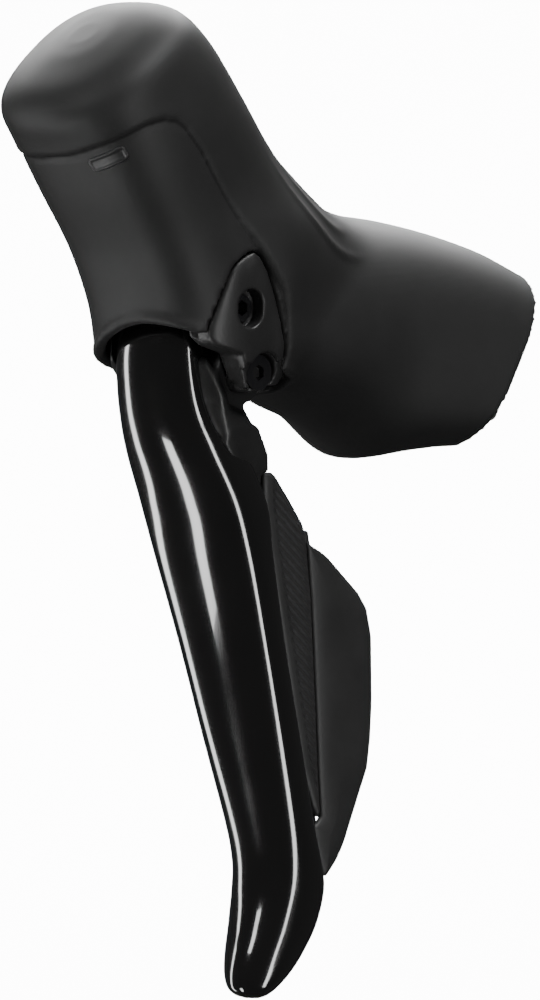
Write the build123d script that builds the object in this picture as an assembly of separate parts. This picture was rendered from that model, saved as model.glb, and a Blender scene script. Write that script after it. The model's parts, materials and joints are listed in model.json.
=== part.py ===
"""Left-hand brake and electronic shift lever for a drop handlebar.

Frame: +Z up, -Y forward (the way the bicycle rides), +X outboard (away from the bicycle).
Origin: the centre of the handlebar clamp, on the handlebar's axis. All sizes are in millimetres.
"""

from build123d import *
import math
import os

os.makedirs("parts", exist_ok=True)

# ---------------------------------------------------------------- driving dimensions
BAR_R = 12.1            # clamped radius, for a 24.2 mm handlebar
BAR_LEAN = 30.0         # the bar's axis leans back from the vertical, in degrees
SADDLE_LENGTH = 26.0    # length of the saddle and of the clamp along the bar
BAND_WIDTH = 10.0
BAND_WALL = 1.0

RUBBER_WALL = 2.2       # wall of the grip cover
COVER_GAP = 0.2         # between the cover and the bracket under it
CHEEK_RECESS = 0.6      # how far the bare cheek lies below the cover's outer face

PIVOT_Y, PIVOT_Z = -60.5, 1.5
AXLE_R = 2.5
HUB_R = 6.0
SLOT_HALF = 10.0        # half the width between the two cheeks
LEVER_HALF = 9.6        # half the width of the lever's hub

BORE_R = 5.0            # master cylinder
BORE_RISE = 50.0        # the cylinder's axis rises towards the front, in degrees
CAM_ARM = 12.0          # from the pivot to the roller that pushes the piston
ROLLER_R = 3.0
RUN_CLEARANCE = 0.04

COIN_R, COIN_THICK = 8.0, 3.2
HOSE_R = 2.55           # bore for a 5 mm hose
BLEED_R = 2.5
BUSH_R = 3.4
SPRING_X = -6.6         # where the lever's hub ends and the return spring begins

CLAMP_BOLT_X = 9.2
BAND_SLOT_R = BAR_R + BAND_WALL + 0.3
PORT_R = 3.45           # bore that the hose bolt is screwed into
BORE_END = 41.0         # the cylinder's closed end, measured from the roller's centre
RESERVOIR_DEPTH = 9.0
LID_SCREWS = ((-11.2, 5.0), (11.2, 5.0), (-11.2, -6.5), (11.2, -6.5))     # on the reservoir's rim
COIN_Y, COIN_Z = -33.5, 13.2
REACH_R = 2.4
REACH_Y, REACH_Z = -65.0, 13.2

# Stations of the grip: centre y, centre z, lean of the spine, half width, above, below
GRIP_STATIONS = (
    (-1.2, 0.7, 30, 21.5, 20.8, 19.5),
    (-9.0, 4.0, 27, 20.0, 20.8, 21.8),
    (-22.0, 8.0, 17, 17.8, 19.3, 22.6),
    (-32.0, 9.3, 12, 17.0, 18.6, 23.2),
    (-40.0, 10.0, 9, 16.5, 18.0, 19.4),
    (-47.0, 10.0, 7, 16.3, 17.4, 15.8),
    (-56.0, 10.0, 5, 16.2, 17.0, 14.6),
)
# Stations of the horn: centre x, y, z, lean of the spine, half width, behind, in front
HORN_STATIONS = (
    (0.0, -61.0, -2.0, 86, 15.5, 14.0, 16.5),
    (0.0, -60.0, 8.0, 77, 16.2, 16.0, 19.0),
    (-0.3, -62.5, 20.0, 64, 17.0, 19.4, 18.6),
    (-0.8, -69.0, 32.0, 55, 17.6, 19.7, 18.5),
    (-1.3, -77.0, 44.0, 52, 18.6, 19.3, 19.1),
    (-1.6, -82.0, 52.0, 52, 18.8, 18.3, 19.0),
    (-1.6, -86.5, 59.0, 52, 16.0, 15.2, 15.2),
    (-1.4, -88.6, 62.4, 52, 11.0, 10.5, 9.6),
)
FORM_CORNER = 0.72      # corner radius of a station, as a share of its smaller half size

# Stations of the lever blade, from its top to its tip:
# z, ridge x, ridge y, width, yaw of the front face, depth, crown
BLADE_STATIONS = (
    (11.5, 6.5, -70.4, 13.8, 9, 4.8, 1.2),
    (5, 7.0, -71.9, 15.4, 12, 4.8, 2.0),
    (-4, 8.0, -71.2, 16.6, 13, 5.6, 2.2),
    (-12, 10.6, -69.0, 18.8, 14, 8.4, 2.4),
    (-22, 13.0, -65.4, 20.4, 15, 8.5, 2.4),
    (-32, 13.6, -62.8, 19.8, 16, 7.0, 2.2),
    (-48, 14.8, -60.2, 17.8, 16, 6.2, 2.0),
    (-65, 16.5, -58.0, 16.0, 16, 6.2, 2.0),
    (-80, 18.1, -56.4, 14.2, 15, 6.4, 2.0),
    (-87, 18.7, -56.0, 13.8, 14, 7.4, 2.1),
    (-92, 19.1, -56.6, 13.6, 14, 8.4, 2.2),
    (-98, 19.4, -58.8, 13.0, 12, 8.4, 2.4),
    (-103, 19.2, -61.2, 12.0, 10, 7.6, 2.4),
    (-106.5, 18.7, -62.8, 10.4, 9, 6.4, 2.1),
    (-109, 17.8, -63.8, 8.0, 8, 5.0, 1.6),
    (-110.6, 16.8, -63.8, 5.6, 8, 3.6, 1.0),
)
BLADE_WALL = 2.0
CHANNEL_END_Z = -90.0

# The two switch paddles lie in one leaning plane behind the blade, and share one hinge pin.
SWITCH_LEAN = 5.0       # lean of that plane, in degrees
SWITCH_X, SWITCH_Z = 10.2, -17.0
PADDLE_WALL = 1.2
HINGE_DEPTH = 3.0       # from the paddles' outer face to the pin
HINGE_TOP = (-53.9, -19.5)
HINGE_BOTTOM = (-46.84, -80.5)
HINGE_R = 0.8
KNUCKLE_R = 1.6


# ---------------------------------------------------------------- helpers
def save(name, *shapes):
    """Write one node from one or more solids."""
    solids = [solid for shape in shapes for solid in shape.solids()]
    export_step(Compound(children=solids) if len(solids) > 1 else solids[0], f"parts/{name}.step")


def slab(x0, x1, y0, y1, z0, z1):
    """A box between two corners."""
    return Pos((x0 + x1) / 2, (y0 + y1) / 2, (z0 + z1) / 2) * Box(abs(x1 - x0), abs(y1 - y0), abs(z1 - z0))


def rod(start, end, radius, end_radius=None):
    """A cylinder, or a cone when end_radius is given, between two points."""
    start, end = Vector(start), Vector(end)
    length = (end - start).length
    if end_radius is None:
        body = Cylinder(radius, length, align=(Align.CENTER, Align.CENTER, Align.MIN))
    else:
        body = Cone(radius, end_radius, length, align=(Align.CENTER, Align.CENTER, Align.MIN))
    return Plane(origin=start, z_dir=(end - start)) * body


def x_rod(y, z, x0, x1, radius):
    """A cylinder along X."""
    return rod((x0, y, z), (x1, y, z), radius)


def side_prism(points, x0, x1):
    """A prism across X whose outline is given as (y, z) points."""
    face = make_face(Polyline(*[(x0, y, z) for y, z in points], close=True))
    return extrude(face, amount=x1 - x0, dir=(1, 0, 0))


def hex_socket(across_flats, depth):
    """A hexagonal prism whose opening is at z = 0 and which goes down."""
    outline = RegularPolygon(across_flats / 2, 6, major_radius=False)
    return extrude(outline, amount=-depth)


def socket_screw(start, end, shank_r, head_r, head_length, hex_across):
    """A socket-head screw: start is the underside of the head, end the tip of the shank."""
    start, end = Vector(start), Vector(end)
    back = (start - end).normalized()
    head_top = start + back * head_length
    body = rod(start, end, shank_r) + rod(start, head_top, head_r)
    body = chamfer(body.edges().filter_by(GeomType.CIRCLE).sort_by(Axis(start, back))[-1], head_r * 0.12)
    return body - Plane(origin=head_top, z_dir=back) * hex_socket(hex_across, head_length * 0.65)


# ---------------------------------------------------------------- local frames
def bar_point(x, forward, along):
    """A point given across the bar, forward of its axis and along it."""
    lean = math.radians(BAR_LEAN)
    return Vector(
        x,
        -forward * math.cos(lean) + along * math.sin(lean),
        forward * math.sin(lean) + along * math.cos(lean),
    )


def bore_point(along, across=0.0, x=0.0):
    """A point on the master cylinder's axis, which starts at the roller's centre."""
    rise = math.radians(BORE_RISE)
    axis = Vector(0, -math.cos(rise), math.sin(rise))
    square = Vector(0, math.sin(rise), math.cos(rise))
    return Vector(x, PIVOT_Y, PIVOT_Z) + square * (CAM_ARM + across) + axis * along


PORT_A = bar_point(-10.5, 27.0, -10.0)      # the olive's end of the hose port
PORT_B = bar_point(-13.4, 11.0, -10.0)      # the mouth of the hose port
PORT_DIR = (PORT_B - PORT_A).normalized()
HORN_AXIS = Vector(0, -0.6, 0.8)
LID_PLANE = Plane(origin=(-1.6, -83.4, 54.2), x_dir=(1, 0, 0), z_dir=HORN_AXIS)
SWITCH_SIN, SWITCH_COS = math.sin(math.radians(SWITCH_LEAN)), math.cos(math.radians(SWITCH_LEAN))
SWITCH_PLANE = Plane(origin=(SWITCH_X, 0, SWITCH_Z), x_dir=(0, 1, 0), z_dir=(SWITCH_COS, 0, SWITCH_SIN))


def switch_point(y, z, depth):
    """A point in the switches' plane, depth below the paddles' outer face."""
    return SWITCH_PLANE.from_local_coords((y, (z - SWITCH_Z) / SWITCH_COS, -depth))


def switch_plate(points, depth, thickness):
    """A plate in the switches' plane, whose outline is given as (y, z) points."""
    outline = Polyline(*[switch_point(y, z, depth + thickness) for y, z in points], close=True)
    return extrude(make_face(outline), amount=thickness, dir=SWITCH_PLANE.z_dir)


HINGE_START = switch_point(*HINGE_TOP, HINGE_DEPTH)
HINGE_END = switch_point(*HINGE_BOTTOM, HINGE_DEPTH)
HINGE_DIR = (HINGE_END - HINGE_START).normalized()
HINGE_LENGTH = (HINGE_END - HINGE_START).length


def hinge_point(along):
    """A point on the switches' hinge, measured down from its top end."""
    return HINGE_START + HINGE_DIR * along


# ---------------------------------------------------------------- the outer form
def station(x, y, z, lean, half_width, above, below, inset):
    """One rounded section of the form, square to the spine."""
    tilt = math.radians(lean)
    spine = Vector(0, -math.cos(tilt), math.sin(tilt))
    up = Vector(0, math.sin(tilt), math.cos(tilt))
    centre = Vector(x, y, z) + up * ((above - below) / 2)
    half_height = (above + below) / 2 - inset
    width = half_width - inset
    corner = FORM_CORNER * min(half_height, width)
    return Plane(origin=centre, x_dir=(1, 0, 0), z_dir=spine) * RectangleRounded(2 * width, 2 * half_height, corner)


def grip_form(inset, rear_extra=0.0):
    """The grip, from the handlebar to inside the horn. rear_extra lengthens it backwards."""
    sections = [station(0, y, z, lean, w, a, b, inset) for y, z, lean, w, a, b in GRIP_STATIONS]
    body = loft([s.face() for s in sections])
    if rear_extra:
        rear = station(0, *GRIP_STATIONS[0], inset).face()
        body += extrude(rear, amount=rear_extra, dir=-bar_point(0, 1, 0))
    return body


def horn_form(inset):
    """The horn, from the lever's slot up to its crown."""
    sections = [station(*s, inset) for s in HORN_STATIONS]
    body = loft([s.face() for s in sections])
    crown = body.faces().sort_by(Axis((0, 0, 0), HORN_AXIS))[-1]
    if inset:
        top = Plane(origin=crown.center() - HORN_AXIS * inset, z_dir=HORN_AXIS)
        body = split(body, bisect_by=top, keep=Keep.BOTTOM)
    return body


def form(inset, rear_extra=0.0):
    """The whole outer form, taken in by inset."""
    return grip_form(inset, rear_extra) + horn_form(inset)


# The cheek that shows beside the lever, as (y, z), and the edge of the cover below the horn.
WINDOW = (
    (-61.0, 23.4), (-66.0, 21.8), (-70.3, 17.0), (-72.8, 8.2), (-73.0, -12.0),
    (-52.0, -12.0), (-54.4, 7.6), (-56.4, 16.8),
)
COVER_EDGE = (
    (-100, 10.5), (-72.8, 8.0), (-64.0, 4.5), (-57.0, -1.5), (-50.5, -5.0), (-50.5, -30), (-100, -30),
)
OUTBOARD_CHEEK_EDGE = (
    (-100, 10.8), (-77.0, 10.6), (-71.5, 6.6), (-66.5, 5.0), (-62.5, -3.6), (-58.0, -5.6), (-52.5, -6.5),
    (-50.5, -30), (-100, -30),
)
INBOARD_CHEEK_EDGE = (
    (-100, 10.8), (-77.0, 10.6), (-73.5, 3.0), (-68.0, -1.5), (-60.5, -5.5), (-52.5, -6.5),
    (-50.5, -30), (-100, -30),
)


def grip_cover():
    """The rubber grip cover that the hand rests on."""
    shell = form(0) - form(RUBBER_WALL, rear_extra=8)
    shell -= side_prism(COVER_EDGE, -30, 30)
    shell -= side_prism(WINDOW, 4, 30)
    shell -= slab(-SLOT_HALF, SLOT_HALF, -60, -50.5, -20, 0)
    shell -= rod(bar_point(0, 0, -60), bar_point(0, 0, 60), BAR_R + 0.4)
    shell -= rod(PORT_B - PORT_DIR * 2, PORT_B + PORT_DIR * 20, 4.5)
    return max(shell.solids(), key=lambda s: s.volume)


def lever_space():
    """Where the lever's hub, roller and blade move between the cheeks."""
    front = slab(-SLOT_HALF, SLOT_HALF, -100, PIVOT_Y + 8, -30, PIVOT_Z + 11)
    blade_top = slab(-SLOT_HALF, SLOT_HALF, -100, -62, -30, 19)
    rear = slab(-SLOT_HALF, SLOT_HALF, PIVOT_Y + 7, -46, -8, PIVOT_Z + 11)
    roller = slab(-5.7, 5.7, -60, -46, -8, 16.4)
    return front + blade_top + rear + roller


def bracket_blank():
    """The bracket before its bores and pockets: the inside of the cover, with the bare cheek."""
    inset = RUBBER_WALL + COVER_GAP
    body = form(inset)
    inner_window = [(y + (0.3 if y < -62 else -0.3), z - 0.3) for y, z in WINDOW]
    body += form(CHEEK_RECESS) & side_prism(inner_window, 8, 30)
    body -= side_prism(OUTBOARD_CHEEK_EDGE, 0, 30)
    body -= side_prism(INBOARD_CHEEK_EDGE, -30, 0)
    rear_cut = Plane(origin=bar_point(0, 3.2, 0), x_dir=(1, 0, 0), z_dir=bar_point(0, 1, 0))
    body = split(body, bisect_by=rear_cut, keep=Keep.TOP)
    body = split(body, bisect_by=LID_PLANE, keep=Keep.BOTTOM)
    return body


def bar_box(x, forward, along, size_x, size_forward, size_along):
    """A box square to the handlebar, given by its centre."""
    frame = Plane(origin=bar_point(x, forward, along), x_dir=(1, 0, 0), z_dir=bar_point(0, 0, 1))
    return frame * Box(size_x, size_forward, size_along)


def clamp_pockets():
    """The saddle, the band's slots, and the bolt's bore, head pocket and key way."""
    saddle = rod(bar_point(0, 0, -60), bar_point(0, 0, 60), BAR_R)
    for side in (-1, 1):
        saddle += rod(bar_point(0, 0, side * SADDLE_LENGTH / 2), bar_point(0, 0, side * 60), BAR_R + 1.2)
    slots = bar_box(0, 12, 0, 2 * BAND_SLOT_R, 34, BAND_WIDTH + 0.6)
    slots -= bar_box(0, 12, 0, 2 * BAR_R - 0.6, 40, 40)
    pockets = bar_box(CLAMP_BOLT_X, 18.5, 0, 8.6, 8.4, 10.6)
    pockets += bar_box(-10.2, 18.5, 0, 6.6, 8.4, 10.6)
    bolt = rod(bar_point(CLAMP_BOLT_X, 12, 0), bar_point(CLAMP_BOLT_X, 31, 0), 2.7)
    head = rod(bar_point(CLAMP_BOLT_X, 26.5, 0), bar_point(CLAMP_BOLT_X, 60, 0), 4.4)
    return saddle + slots + pockets + bolt + head


def cylinder_pockets():
    """The master cylinder's bore, the reservoir and the fluid ways between them and the hose port."""
    bore = rod(bore_point(6), bore_point(BORE_END), BORE_R)
    circlip_groove = rod(bore_point(12.4), bore_point(13.4), BORE_R + 0.7)
    reservoir = LID_PLANE * Pos(0, 0, -RESERVOIR_DEPTH / 2) * Box(19, 15, RESERVOIR_DEPTH)
    well = LID_PLANE * Pos(0, 5.4, -11) * Box(12, 4.2, 22)
    timing_port = rod(bore_point(32.3), bore_point(32.3, across=9), 0.4)
    port = rod(PORT_A, PORT_B + PORT_DIR * 20, PORT_R)
    port += rod(PORT_B, PORT_B + PORT_DIR * 20, 4.3)
    seat = rod(PORT_A - PORT_DIR * 3, PORT_A, 2.2)
    turns = (PORT_A - PORT_DIR * 2.5, Vector(-11.8, -49, 3), Vector(-11.8, -58, 24), bore_point(BORE_END - 1.5))
    ways = [rod(a, b, 0.9) for a, b in zip(turns, turns[1:])]
    return bore + circlip_groove + reservoir + well + timing_port + port + seat + ways


def side_pockets():
    """The axle's bore, the reach adjuster's bore, the battery and the circuit board."""
    axle = x_rod(PIVOT_Y, PIVOT_Z, -20, 20, AXLE_R)
    clip = x_rod(PIVOT_Y, PIVOT_Z, -20, -12.2, 4.7)
    axle_head = x_rod(PIVOT_Y, PIVOT_Z, 13.2, 20, 3.5)
    reach = x_rod(REACH_Y, REACH_Z, 7, 14.4, REACH_R + RUN_CLEARANCE)
    reach += x_rod(REACH_Y, REACH_Z + 0.8, 14.2, 20, 3.0) + x_rod(REACH_Y, REACH_Z - 0.8, 14.2, 20, 3.0)
    coins = x_rod(COIN_Y, COIN_Z, -20, -5.0, COIN_R + 0.7)
    board = slab(-4.6, 3.8, -50.5, -30.6, 16.8, 20.0)
    board_way = slab(-8.0, -4.0, -38.0, -31.5, 17.2, 19.0)
    return axle + clip + axle_head + reach + coins + board + board_way


def bracket_body():
    """The moulded bracket: clamp saddle, master cylinder, reservoir and lever cheeks in one piece."""
    body = bracket_blank() - lever_space() - clamp_pockets() - cylinder_pockets() - side_pockets()
    for x, y in LID_SCREWS:
        body -= LID_PLANE * Pos(x, y, -7) * Cylinder(1.05, 14)
    return max(body.solids(), key=lambda s: s.volume)


# ---------------------------------------------------------------- handlebar clamp
def clamp_band():
    """The steel band: half round behind the bar, with two straight legs into the bracket."""
    def outline(r, leg):
        return rod(bar_point(0, 0, -BAND_WIDTH / 2), bar_point(0, 0, BAND_WIDTH / 2), r) + bar_box(
            0, leg / 2, 0, 2 * r, leg, BAND_WIDTH)
    band = outline(BAR_R + BAND_WALL, 21.5) - outline(BAR_R, 40)
    for side in (-1, 1):
        band -= bar_box(side * (BAR_R + 0.5), 18.5, 0, 4, 2.8, 5.2)
    return band


def band_block(side):
    """The block that one leg of the band hooks over, on its lug."""
    if side > 0:
        block = bar_box(CLAMP_BOLT_X - 0.4, 18.5, 0, 6.6, 7.6, 9.6)
        block -= rod(bar_point(CLAMP_BOLT_X, 5, 0), bar_point(CLAMP_BOLT_X, 30, 0), 2.5)
    else:
        block = bar_box(-9.8, 18.5, 0, 4.6, 7.6, 9.6)
    block += bar_box(side * (BAR_R + 0.45), 18.5, 0, 0.9, 2.6, 5.0)
    return block


def clamp_bolt():
    """The clamp bolt, whose head is turned from the front through the key way."""
    return socket_screw(
        bar_point(CLAMP_BOLT_X, 26.5, 0), bar_point(CLAMP_BOLT_X, 13.5, 0), 2.45, 4.0, 4.6, 4.0)


# ---------------------------------------------------------------- hose port
def hose_bolt():
    """The hollow bolt that the hose passes through."""
    body = rod(PORT_A + PORT_DIR * 4.6, PORT_B, PORT_R - 0.05)
    head = Plane(origin=PORT_B, z_dir=PORT_DIR) * extrude(RegularPolygon(3.5, 6, major_radius=False), amount=3)
    return body + head - rod(PORT_A - PORT_DIR * 5, PORT_B + PORT_DIR * 10, HOSE_R)


def hose_olive():
    """The compression ring ahead of the hose bolt."""
    ring = rod(PORT_A, PORT_A + PORT_DIR * 4.5, PORT_R - 0.15)
    ring = chamfer(ring.edges().filter_by(GeomType.CIRCLE), 0.5)
    return ring - rod(PORT_A - PORT_DIR * 5, PORT_B, HOSE_R)


# ---------------------------------------------------------------- reservoir
def lid_form(low, high, inset):
    """A slice of the horn's inside between two heights above the reservoir's rim."""
    body = horn_form(inset)
    bottom = Plane(origin=LID_PLANE.origin + HORN_AXIS * low, z_dir=HORN_AXIS)
    top = Plane(origin=LID_PLANE.origin + HORN_AXIS * high, z_dir=HORN_AXIS)
    return split(split(body, bisect_by=bottom, keep=Keep.TOP), bisect_by=top, keep=Keep.BOTTOM)


def reservoir_diaphragm():
    """The rubber membrane between the fluid and the lid, with its folded cup."""
    skin = lid_form(0, 1, RUBBER_WALL + COVER_GAP + 0.1)
    skin += LID_PLANE * Pos(0, 0, -2) * Box(18.6, 14.6, 4)
    skin -= LID_PLANE * Pos(0, 0, -1) * Box(16.8, 12.8, 4.4)
    for x, y in LID_SCREWS:
        skin -= LID_PLANE * Pos(x, y, 0) * Cylinder(1.3, 4)
    return skin


def reservoir_lid():
    """The lid that holds the diaphragm down, with the bleed port in its middle."""
    lid = lid_form(1.02, 6.2, RUBBER_WALL + COVER_GAP + 0.1)
    for x, y in LID_SCREWS:
        lid -= LID_PLANE * Pos(x, y, 0) * Cylinder(1.3, 20)
        lid -= LID_PLANE * Pos(x, y, 9) * Cylinder(2.1, 10)
    lid -= LID_PLANE * Cylinder(BLEED_R, 20)
    lid -= LID_PLANE * Pos(0, 0, 9.0) * Cylinder(4.4, 10)
    return lid


def lid_screws():
    """The four screws of the reservoir's lid."""
    up = HORN_AXIS
    feet = [LID_PLANE.from_local_coords((x, y, 4.0)) for x, y in LID_SCREWS]
    return [socket_screw(foot, foot - up * 9, 1.0, 1.9, 1.6, 1.5) for foot in feet]


def bleed_screw():
    """The bleed screw in the lid."""
    foot = LID_PLANE.from_local_coords((0, 0, 4.7))
    return socket_screw(foot, foot - HORN_AXIS * 3.5, BLEED_R - 0.05, 3.4, 2.0, 2.5)


def bleed_oring():
    """The seal under the bleed screw's head."""
    return Plane(origin=LID_PLANE.from_local_coords((0, 0, 4.35)), z_dir=HORN_AXIS) * Torus(2.85, 0.34)


# ---------------------------------------------------------------- master cylinder
def bore_rod(low, high, radius):
    """A cylinder on the master cylinder's axis."""
    return rod(bore_point(low), bore_point(high), radius)


def master_piston():
    """The piston, with grooves for its two seals and a seat for the push rod."""
    body = bore_rod(13.6, 31.5, BORE_R - 0.05)
    body -= bore_rod(16.5, 18.5, 8) - bore_rod(16.5, 18.5, 3.6)
    body -= bore_rod(20.0, 26.5, 8) - bore_rod(20.0, 26.5, 4.0)
    body -= bore_rod(28.0, 30.2, 8) - bore_rod(28.0, 30.2, 3.6)
    return body - bore_rod(13, 15.6, 3.05)


def piston_seal(low, high):
    """A lipped rubber ring in one of the piston's grooves."""
    ring = bore_rod(low, high, BORE_R - 0.03) - bore_rod(low, high, 3.6)
    lip = rod(bore_point(high - 1.0), bore_point(high), 4.0, 4.6) - bore_rod(high - 1.0, high, 3.9)
    return ring - lip


def push_rod():
    """The rod that the lever's roller pushes, with a flat pad at its lower end."""
    return bore_rod(ROLLER_R + 0.1, 5.2, 4.0) + bore_rod(5.0, 15.6, 3.0)


def piston_circlip():
    """The split ring that keeps the piston in its bore."""
    ring = bore_rod(12.5, 13.3, BORE_R + 0.55) - bore_rod(12.5, 13.3, 3.6)
    gap = Plane(origin=bore_point(12.9, across=-5), x_dir=(1, 0, 0), z_dir=bore_point(1) - bore_point(0))
    return ring - gap * Box(3.0, 6, 3)


def coil(start, axis, radius, wire, turns, length):
    """A helical spring of round wire along an axis."""
    pitch = (length - 2 * wire) / turns
    path = Helix(pitch=pitch, height=pitch * turns, radius=radius)
    profile = Plane(origin=path @ 0, z_dir=path % 0) * Circle(wire)
    spring = sweep(profile, path=path, is_frenet=True)
    frame = Plane(origin=Vector(start) + Vector(axis).normalized() * wire, z_dir=axis)
    return frame * spring


def piston_spring():
    """The spring between the piston and the cylinder's closed end."""
    axis = bore_point(1) - bore_point(0)
    return coil(bore_point(31.6), axis, 3.9, 0.4, 4, BORE_END - 31.7)


# ---------------------------------------------------------------- lever pivot
def lever_axle():
    """The axle, put in from the outboard side, with a key socket in its head."""
    axle = x_rod(PIVOT_Y, PIVOT_Z, -13.0, 13.3, AXLE_R - 0.02)
    axle += x_rod(PIVOT_Y, PIVOT_Z, 13.22, 14.2, 3.2)
    axle -= x_rod(PIVOT_Y, PIVOT_Z, -12.75, -12.25, 6) - x_rod(PIVOT_Y, PIVOT_Z, -12.75, -12.25, 2.0)
    socket = Plane(origin=(14.2, PIVOT_Y, PIVOT_Z), z_dir=(1, 0, 0)) * hex_socket(2.5, 2.0)
    return axle - socket


def axle_clip():
    """The open ring in the axle's groove."""
    ring = x_rod(PIVOT_Y, PIVOT_Z, -12.72, -12.28, 4.3) - x_rod(PIVOT_Y, PIVOT_Z, -13, -12, 2.02)
    return ring - slab(-13, -12, PIVOT_Y - 1.4, PIVOT_Y + 1.4, PIVOT_Z - 6, PIVOT_Z)


def pivot_bushes():
    """The two bushes pressed into the lever's hub."""
    spans = ((3.6, LEVER_HALF), (-LEVER_HALF, -1.0))
    return [x_rod(PIVOT_Y, PIVOT_Z, a, b, BUSH_R) - x_rod(PIVOT_Y, PIVOT_Z, a, b, AXLE_R + 0.03) for a, b in spans]


def return_spring():
    """The coiled spring beside the hub that brings the lever back."""
    return coil((SPRING_X - 3.0, PIVOT_Y, PIVOT_Z), (1, 0, 0), 4.4, 0.45, 2, 2.9)


def roller_pin():
    """The pin that the roller turns on."""
    centre = bore_point(0)
    return x_rod(centre.Y, centre.Z, -5.0, 5.0, 1.2)


def push_roller():
    """The roller that pushes the piston."""
    centre = bore_point(0)
    return x_rod(centre.Y, centre.Z, -2.4, 2.4, ROLLER_R) - x_rod(centre.Y, centre.Z, -3, 3, 1.25)


def reach_screw():
    """The reach adjuster in the outboard cheek."""
    body = x_rod(REACH_Y, REACH_Z, 10.3, 14.6, REACH_R)
    return body - Plane(origin=(14.6, REACH_Y, REACH_Z), z_dir=(1, 0, 0)) * hex_socket(2.5, 2.2)


# ---------------------------------------------------------------- lever
def blade_section(station_row, wall=0.0):
    """One level of the blade: a crowned front face, straight sides and an open or flat back."""
    z, ridge_x, ridge_y, width, yaw, depth, crown = station_row
    turn = math.radians(yaw)
    along = Vector(-math.cos(turn), -math.sin(turn))
    outward = Vector(math.sin(turn), -math.cos(turn))
    ridge = Vector(ridge_x, ridge_y) + along * wall - outward * wall
    inner_end = Vector(ridge_x, ridge_y) + along * (width - wall) - outward * wall
    middle = (ridge + inner_end) / 2 + outward * crown
    reach = depth + 12 if wall else depth
    back = Vector(0, reach)
    points = [Vector(p.X, p.Y, z) for p in (ridge, middle, inner_end, inner_end + back * 0.8, ridge + back)]
    front = ThreePointArc(points[0], points[1], points[2])
    sides = Polyline(points[2], points[3], points[4], points[0])
    return make_face(front + sides)


def blade_outer():
    """The blade as a solid, without its channel."""
    return loft([blade_section(row) for row in BLADE_STATIONS])


def blade_channel():
    """The hollow behind the blade's front face."""
    rows = [row for row in BLADE_STATIONS if row[0] >= CHANNEL_END_Z]
    top = (rows[0][0] + 4, *rows[0][1:])
    return loft([blade_section(row, BLADE_WALL) for row in (top, *rows)], ruled=True)


BLADE_SCREWS_Z = (-9.0, -16.0)
BLADE_SCREW_X = -1.0
ARM_SHOULDER = (
    (-66.0, -1.0), (-62.0, -4.2), (-59.7, -4.4), (-57.0, -8.8), (-55.0, -13.4), (-54.9, -16.8), (-62.0, -16.8),
    (-66.5, -10.0),
)
ARM_FLANK = ((-64.5, -8.4), (-57.6, -8.4), (-55.0, -13.4), (-54.9, -16.8), (-62.0, -16.8), (-66.0, -11.0))
ARM_FRONT = ((-69.0, 12.0), (-69.0, 4.0), (-68.4, -4.0), (-66.2, -12.0), (-62.6, -22.0), (-61.4, -27.5))


def arm_front_y(z):
    """The front of the lever's arm at a height."""
    for (y0, z0), (y1, z1) in zip(ARM_FRONT, ARM_FRONT[1:]):
        if z1 <= z <= z0:
            return y0 + (y1 - y0) * (z0 - z) / (z0 - z1)
    return ARM_FRONT[-1][0]


def lever_blade():
    """The hollow blade that the fingers pull, with two bosses for its screws."""
    outer = blade_outer()
    blade = outer - blade_channel()
    for z in BLADE_SCREWS_Z:
        boss = rod((BLADE_SCREW_X, -80, z), (BLADE_SCREW_X, arm_front_y(z) - 0.02, z), 2.4)
        blade += boss & outer
        blade -= rod((BLADE_SCREW_X, arm_front_y(z) - 4.2, z), (BLADE_SCREW_X, -50, z), 1.3)
    return max(blade.solids(), key=lambda s: s.volume)


def blade_screws():
    """The two screws that hold the blade to the arm."""
    screws = []
    for z in BLADE_SCREWS_Z:
        front = arm_front_y(z)
        screws.append(socket_screw(
            (BLADE_SCREW_X, front + 2.5, z), (BLADE_SCREW_X, front - 4.0, z), 1.25, 2.2, 1.6, 2.0))
    return screws


def lever_arm():
    """The arm: hub, roller fork, blade mounting and the matt shoulder that shows below the cheek."""
    neck_side = (*ARM_FRONT, (-55.6, -27.5), (-56.2, -10.5), (-57.0, -1.0), (-60.5, 6.0), (-64, 12.0))
    neck = side_prism(neck_side, -3.6, 4.6)
    shoulder = side_prism(ARM_SHOULDER, 0, LEVER_HALF - 0.2)
    flank = side_prism(ARM_FLANK, LEVER_HALF - 0.4, 11.2)
    hub = x_rod(PIVOT_Y, PIVOT_Z, SPRING_X, LEVER_HALF, HUB_R)
    roller = bore_point(0)
    arm = neck + shoulder + flank + hub
    for side in (-1, 1):
        x0, x1 = sorted((side * 2.7, side * 5.0))
        corners = [bore_point(*at) for at in ((2.4, 0.3), (2.4, -7), (5.2, -12), (-5.2, -12), (-2.5, 0.3))]
        arm += x_rod(roller.Y, roller.Z, x0, x1, 2.5) + side_prism([(c.Y, c.Z) for c in corners], x0, x1)
    arm -= slab(-2.7, 2.7, -54.6, -40, 4.4, 20)
    arm -= x_rod(roller.Y, roller.Z, -2.7, 2.7, 3.4)
    arm -= x_rod(roller.Y, roller.Z, -6, 6, 1.2)
    arm -= x_rod(PIVOT_Y, PIVOT_Z, -20, 20, BUSH_R)
    for z in BLADE_SCREWS_Z:
        front = arm_front_y(z)
        arm -= rod((BLADE_SCREW_X, -80, z), (BLADE_SCREW_X, -50, z), 1.3)
        arm -= rod((BLADE_SCREW_X, front + 2.5, z), (BLADE_SCREW_X, -40, z), 2.4)
    arm -= switch_plate(((-75, -17.4), (-40, -17.4), (-40, -30), (-75, -30)), -5, BASE_BOTTOM + 5)
    for y, z in BASE_SCREWS:
        arm -= rod(switch_point(y, z, 5), switch_point(y, z, 13), 1.0)
    arm -= lever_blade()
    return max(arm.solids(), key=lambda s: s.volume)


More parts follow.
